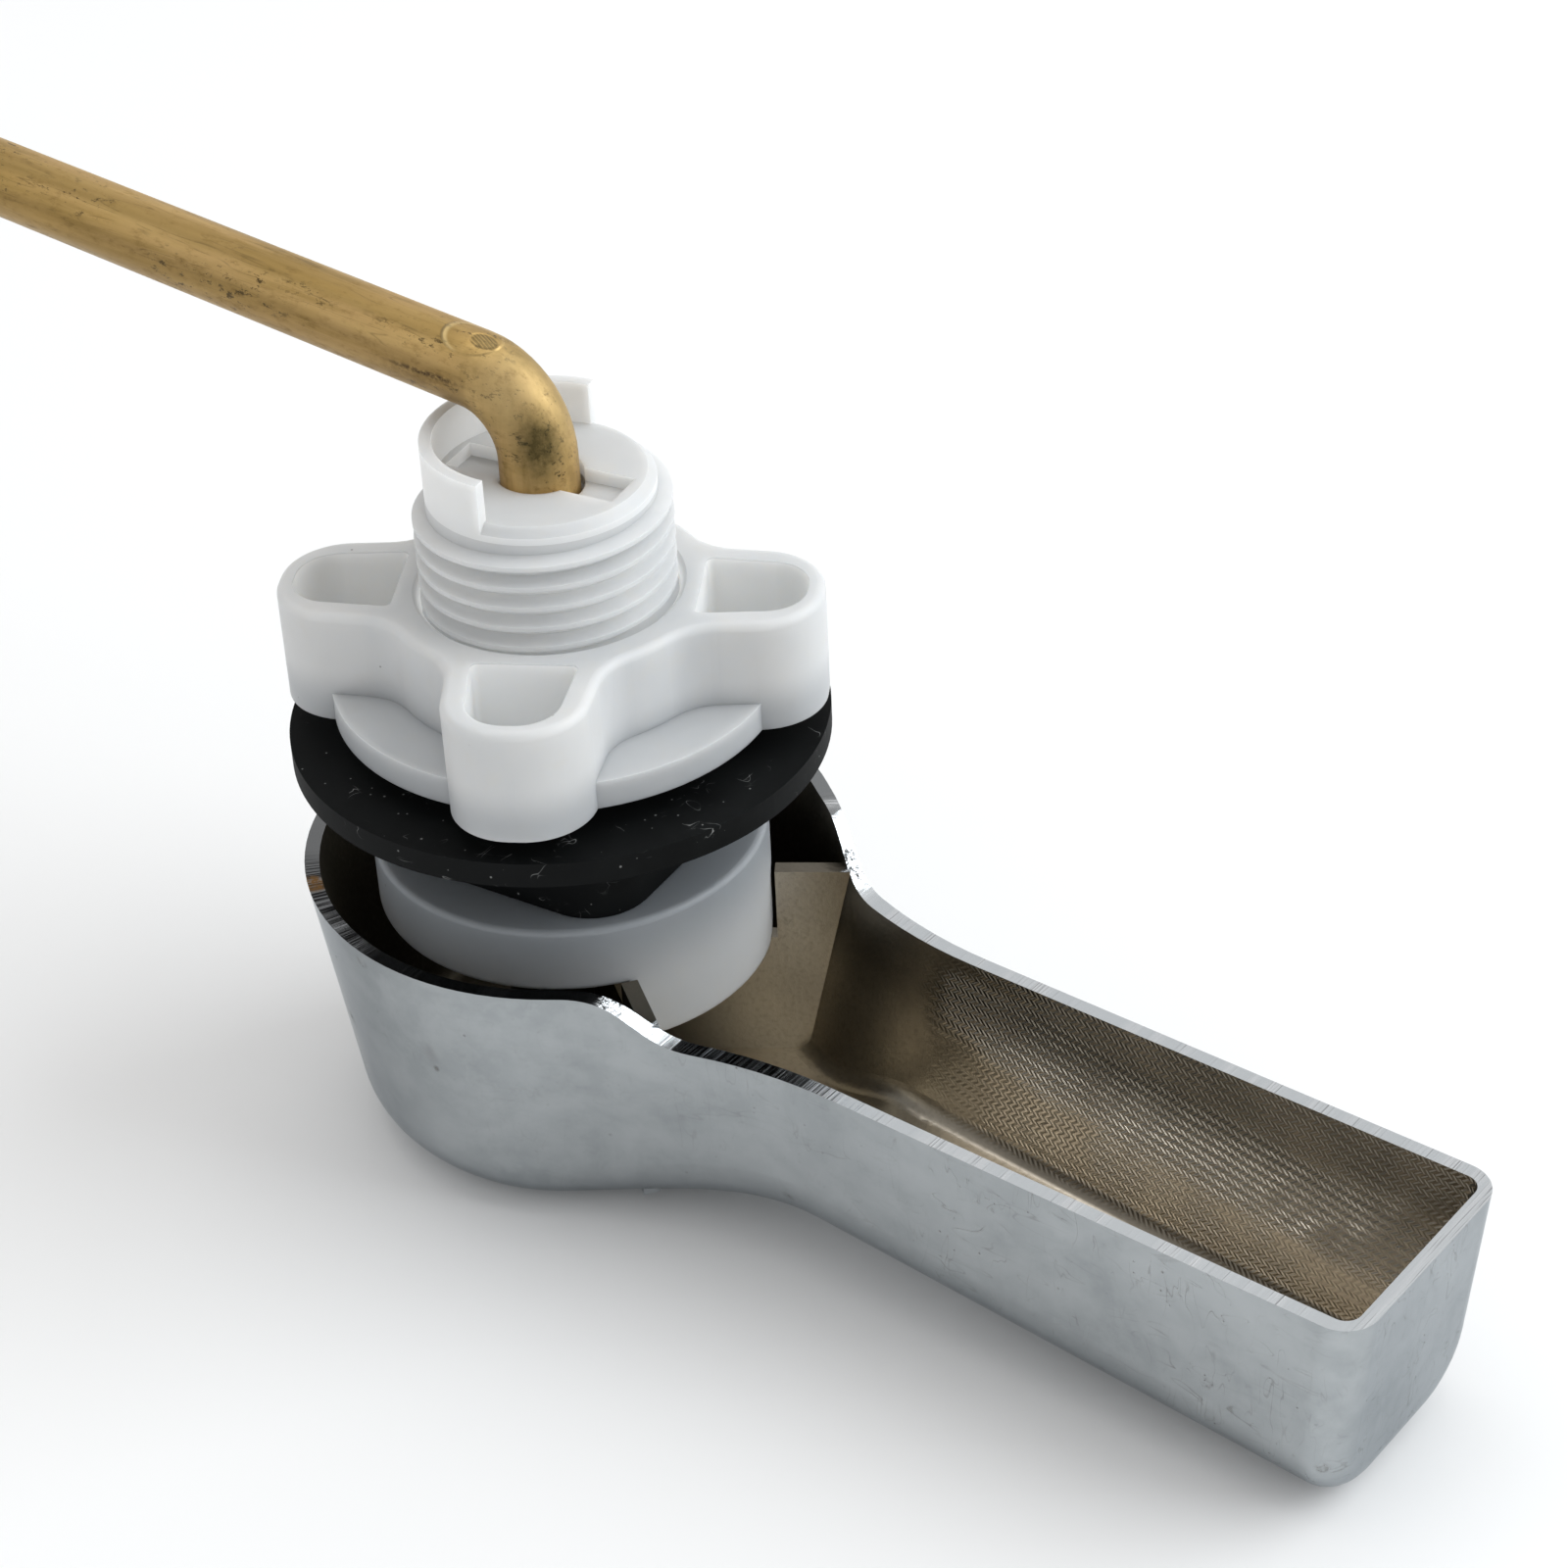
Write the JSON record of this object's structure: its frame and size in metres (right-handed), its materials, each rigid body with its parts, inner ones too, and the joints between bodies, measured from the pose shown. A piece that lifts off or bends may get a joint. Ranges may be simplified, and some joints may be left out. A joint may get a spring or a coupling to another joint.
{
  "type": "cistern flush lever",
  "caption": "Toilet cistern flush lever: hollow chromed handle on a threaded white bush with a winged lock nut, a square-bossed rubber washer and a bent brass arm.",
  "frame": {"origin": "on the shank's axis, in the plane of the housing's shoulder that bears on the outside of the cistern wall", "axes": "+Z along the shank into the cistern, +X along the hand lever, the arm pointing along -X at rest"},
  "size_m": [0.248, 0.0454, 0.079],
  "materials": {
    "chrome_plate": "plated, lightly worn",
    "brass_rod": "aged satin",
    "white_plastic": "milky, satin",
    "black_rubber": "matte"
  },
  "bodies": {
    "bush": {"housing": "white_plastic"},
    "lever": {"handle": "chrome_plate", "arm": "brass_rod"},
    "washer_body": {"washer": "black_rubber"},
    "nut_body": {"lock_nut": "white_plastic"}
  },
  "joints": [
    {"name": "lever_turn", "type": "hinge", "parent": "bush", "child": "lever", "pos_m": [0, 0, 0], "axis": [0, 0, 1], "range_deg": [-40, 40]},
    {"name": "washer_slide", "type": "slide", "parent": "bush", "child": "washer_body", "axis": [0, 0, 1], "range_m": [0, 0.00725]},
    {"name": "nut_spin", "type": "hinge", "parent": "washer_body", "child": "nut_body", "pos_m": [0, 0, 0], "axis": [0, 0, 1], "range_deg": [0, 1440]}
  ],
  "couplings": [
    {"joint": "nut_spin", "follows": "washer_slide", "rad_per_m": 3463.7}
  ]
}
